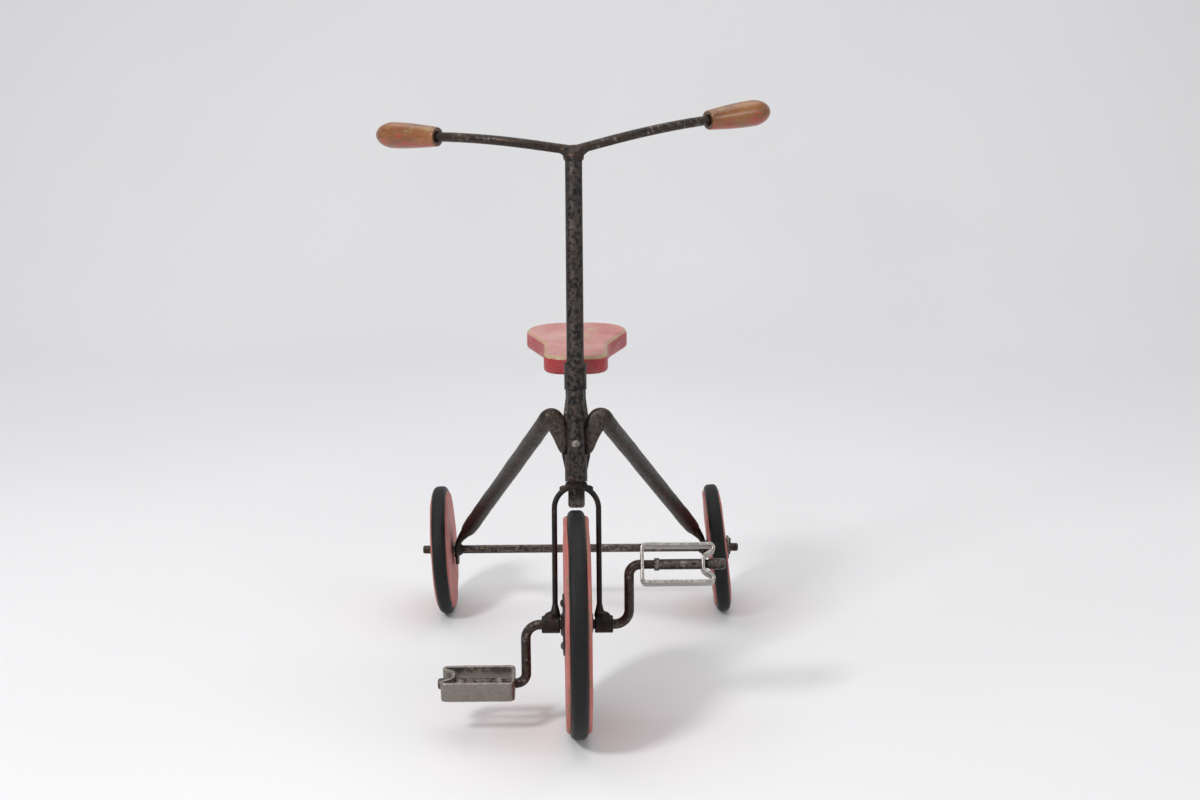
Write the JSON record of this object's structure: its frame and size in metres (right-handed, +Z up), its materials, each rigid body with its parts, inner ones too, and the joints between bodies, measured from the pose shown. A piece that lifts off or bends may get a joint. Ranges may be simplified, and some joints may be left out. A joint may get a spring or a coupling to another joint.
{
  "type": "children's tricycle",
  "caption": "Child's tricycle with a pipe and rod iron frame, wooden wheels with rubber tyres, a flat wooden saddle, turned wooden grips and loop pedals on a one-piece crank.",
  "frame": {"origin": "on the floor, midway between the foremost point of the front tyre and the rearmost point of the rear tyres, in the mid-plane of the column", "axes": "+Z up, -Y towards the front wheel, +X to the right as seen from the front"},
  "size_m": [0.5018, 0.6852, 0.7546],
  "materials": {
    "iron": "dark painted iron worn to a brown patina with rust speckles",
    "worn_steel": "bare steel worn bright on the edges, rusty in the hollows",
    "seat_wood": "faded red paint on wood, edges worn to bare wood",
    "wheel_wood": "faded red paint on wood with the grain showing",
    "grip_wood": "lacquered wood with remains of red paint",
    "tyre": "satin black rubber"
  },
  "bodies": {
    "frame": {"backbone": "iron", "head_collar_upper": "iron", "head_collar_lower": "iron", "collar_welds": "iron", "leg_left": "iron", "leg_right": "iron", "rear_axle": "iron", "foot_welds": "iron", "axle_washers_inner": "worn_steel", "axle_washers_outer": "worn_steel", "axle_split_pins": "worn_steel", "seat": "seat_wood", "seat_bracket": "iron", "bracket_rivets": "worn_steel", "seat_screws": "worn_steel"},
    "steering": {"column_tube": "iron", "column_rivet": "worn_steel", "fork": "iron", "fork_bearing_left": "iron", "fork_bearing_right": "iron", "handlebar": "iron", "handlebar_weld": "iron", "grip_left": "grip_wood", "grip_right": "grip_wood"},
    "front_wheel": {"crank": "iron", "front_disc": "wheel_wood", "front_tyre": "tyre", "hub_plate": "iron", "hub_screws": "worn_steel", "crank_split_pin": "worn_steel", "pedal_cap_left": "worn_steel", "pedal_cap_right": "worn_steel"},
    "pedal_left": {"pedal_strip_left": "worn_steel", "pedal_sleeve_left": "worn_steel"},
    "pedal_right": {"pedal_strip_right": "worn_steel", "pedal_sleeve_right": "worn_steel"},
    "rear_wheel_left": {"rear_disc_left": "wheel_wood", "rear_tyre_left": "tyre"},
    "rear_wheel_right": {"rear_disc_right": "wheel_wood", "rear_tyre_right": "tyre"}
  },
  "joints": [
    {"name": "steer", "type": "hinge", "parent": "frame", "child": "steering", "pos_m": [0, -0.2031, 0.1395], "axis": [0, 0.2588, 0.9659], "range_deg": [-35, 35]},
    {"name": "front_spin", "type": "hinge", "parent": "steering", "child": "front_wheel", "pos_m": [0, -0.2031, 0.1395], "axis": [1, 0, 0], "continuous": true},
    {"name": "pedal_left_spin", "type": "hinge", "parent": "front_wheel", "child": "pedal_left", "pos_m": [-0.12, -0.2031, 0.0635], "axis": [1, 0, 0], "continuous": true},
    {"name": "pedal_right_spin", "type": "hinge", "parent": "front_wheel", "child": "pedal_right", "pos_m": [0.12, -0.2031, 0.2155], "axis": [1, 0, 0], "continuous": true},
    {"name": "rear_left_spin", "type": "hinge", "parent": "frame", "child": "rear_wheel_left", "pos_m": [-0.1975, 0.2509, 0.09173], "axis": [0.9985, 0, 0.0541], "continuous": true},
    {"name": "rear_right_spin", "type": "hinge", "parent": "frame", "child": "rear_wheel_right", "pos_m": [0.1975, 0.2509, 0.09152], "axis": [0.9945, 0, 0.1045], "continuous": true}
  ]
}
